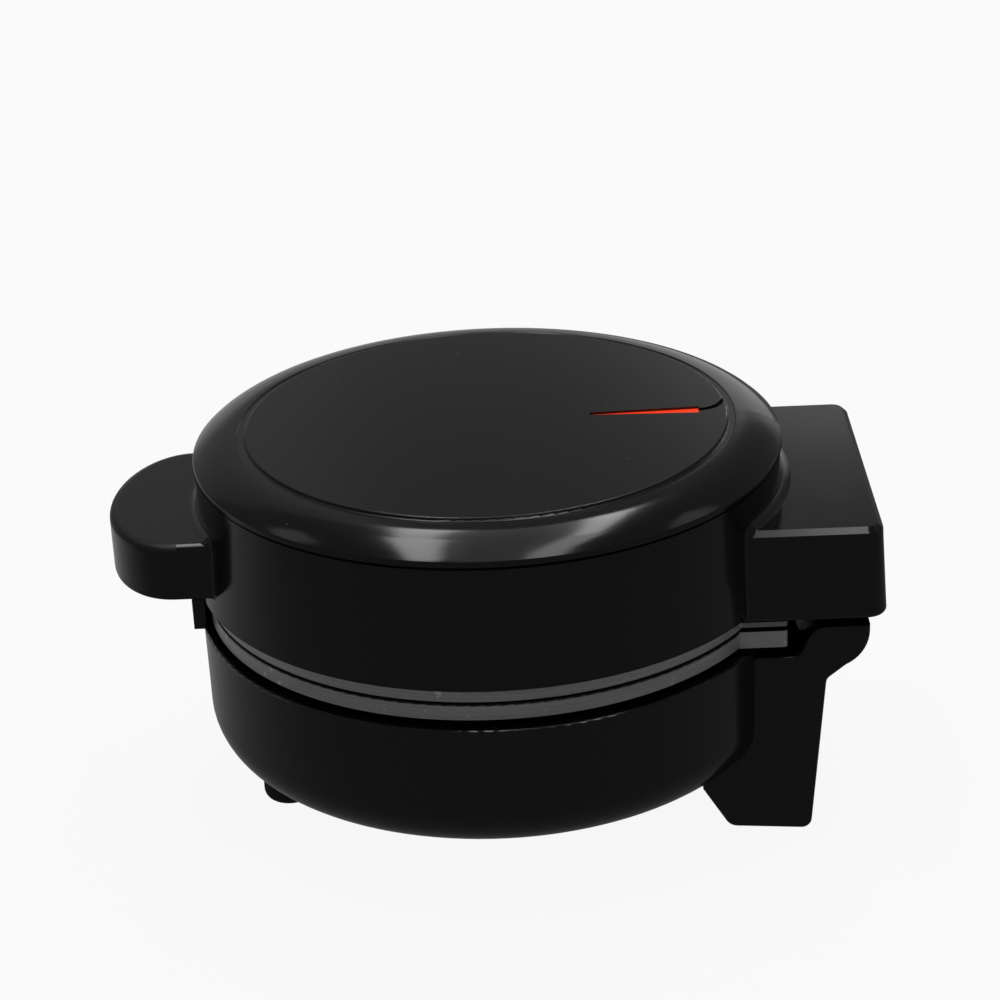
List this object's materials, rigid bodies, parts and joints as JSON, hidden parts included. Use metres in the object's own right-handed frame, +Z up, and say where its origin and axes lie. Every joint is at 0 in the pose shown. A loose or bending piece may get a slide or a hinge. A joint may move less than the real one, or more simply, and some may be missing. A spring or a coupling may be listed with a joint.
{
  "type": "mini waffle maker",
  "caption": "Small round countertop waffle maker with a rear-hinged lid, rounded front handle, bowl-shaped base on a leg and feet, and an indicator lens in the lid.",
  "frame": {"origin": "on the table, under the middle of the closed appliance's overall length and width, which is also the round body's axis", "axes": "+X from the handle towards the hinge, +Y to the left of someone looking from the handle to the hinge, +Z up"},
  "size_m": [0.1667, 0.1296, 0.0867],
  "materials": {
    "shell_plastic": "gloss black moulded plastic",
    "cover_plastic": "matte black moulded plastic",
    "inner_plastic": "heat-resistant cream plastic",
    "cast_plate": "cast, dark non-stick coating",
    "red_lens": "clear red plastic",
    "lamp_glass": "clear glass",
    "steel": "zinc plated",
    "screw_steel": "zinc plated",
    "element_sheath": "heat-stained steel tube",
    "tin_sheet": "tinned sheet",
    "foot_rubber": "matte black rubber"
  },
  "bodies": {
    "base": {"base_housing": "shell_plastic", "lower_plate": "cast_plate", "lower_element": "element_sheath", "lower_heat_shield": "tin_sheet", "lower_shield_screws": "screw_steel", "thermostat": "inner_plastic", "terminal_block": "inner_plastic", "base_plate_screws": "screw_steel", "base_cover": "cover_plastic", "cover_screws": "screw_steel", "front_feet": "foot_rubber", "rear_feet": "foot_rubber", "cord_bushing": "foot_rubber", "hinge_rod": "steel"},
    "lid": {"lid_housing": "shell_plastic", "upper_plate": "cast_plate", "upper_element": "element_sheath", "upper_heat_shield": "tin_sheet", "upper_shield_screws": "screw_steel", "thermal_cutout": "inner_plastic", "lid_plate_screws": "screw_steel", "indicator_lens": "red_lens", "indicator_lamp": "lamp_glass", "lamp_holder": "inner_plastic", "hinge_bracket": "steel", "hinge_bracket_screws": "screw_steel"}
  },
  "joints": [
    {"name": "lid_hinge", "type": "hinge", "parent": "base", "child": "lid", "pos_m": [0.071, 0, 0.0483], "axis": [0, 1, 0], "range_deg": [0, 105]}
  ]
}
